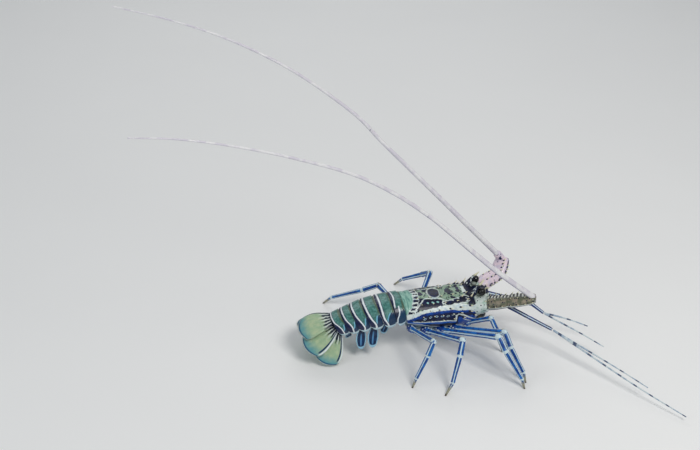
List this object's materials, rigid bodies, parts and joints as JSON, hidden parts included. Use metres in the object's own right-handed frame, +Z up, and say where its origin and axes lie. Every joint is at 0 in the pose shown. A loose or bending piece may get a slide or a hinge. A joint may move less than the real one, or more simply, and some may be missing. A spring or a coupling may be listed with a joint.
{
  "type": "spiny lobster",
  "caption": "Life-size spiny lobster standing on its walking legs, long whip antennae swept back over the body, ringed tail bent down to a spread fan.",
  "frame": {"origin": "middle of the footprint on the floor, below the bounding box centre", "axes": "+X towards the head, +Y to the animal's left, +Z up; the toes stand on Z = 0"},
  "size_m": [0.5638, 0.3304, 0.3996],
  "materials": {
    "shell": "dark blue to black shell with white lines, low gloss",
    "tail_shell": "teal green shell rings with white cross bands, low gloss",
    "fan": "pale green blades with fine rays and a blue rim",
    "legs": "deep blue with white lines lengthwise",
    "stalks": "pink white and grey green spiny antenna stalks",
    "whips": "white antenna whips and antennule lashes",
    "eyes": "black, glossy",
    "mouthparts": "brown green with bristles",
    "pleopods": "dark blue leaves with pale blue margins"
  },
  "bodies": {
    "root": {"carapace": "shell", "sternum": "shell", "eye_right": "eyes", "eye_left": "eyes", "antenna_right_stalk_1": "stalks", "antenna_right_stalk_2": "stalks", "antenna_right_whip_1": "whips", "antenna_right_whip_2": "whips", "antenna_left_stalk_1": "stalks", "antenna_left_stalk_2": "stalks", "antenna_left_whip_1": "whips", "antenna_left_whip_2": "whips", "antennule_right_stalk": "legs", "antennule_right_outer": "whips", "antennule_right_inner": "whips", "antennule_left_stalk": "legs", "antennule_left_outer": "whips", "antennule_left_inner": "whips", "leg_right_1_upper": "legs", "leg_right_1_lower": "legs", "leg_right_2_upper": "legs", "leg_right_2_lower": "legs", "leg_right_3_upper": "legs", "leg_right_3_lower": "legs", "leg_right_4_upper": "legs", "leg_right_4_lower": "legs", "leg_right_5_upper": "legs", "leg_right_5_lower": "legs", "leg_left_1_upper": "legs", "leg_left_1_lower": "legs", "leg_left_2_upper": "legs", "leg_left_2_lower": "legs", "leg_left_3_upper": "legs", "leg_left_3_lower": "legs", "leg_left_4_upper": "legs", "leg_left_4_lower": "legs", "leg_left_5_upper": "legs", "leg_left_5_lower": "legs", "maxilliped_right": "mouthparts", "maxilliped_left": "mouthparts", "abdomen_1": "tail_shell", "abdomen_2": "tail_shell", "abdomen_3": "tail_shell", "abdomen_4": "tail_shell", "abdomen_5": "tail_shell", "abdomen_6": "tail_shell", "telson": "fan", "uropod_right_inner": "fan", "uropod_right_outer": "fan", "pleopod_right_2": "pleopods", "pleopod_right_3": "pleopods", "pleopod_right_4": "pleopods", "pleopod_right_5": "pleopods", "uropod_left_inner": "fan", "uropod_left_outer": "fan", "pleopod_left_2": "pleopods", "pleopod_left_3": "pleopods", "pleopod_left_4": "pleopods", "pleopod_left_5": "pleopods"}
  },
  "joints": []
}
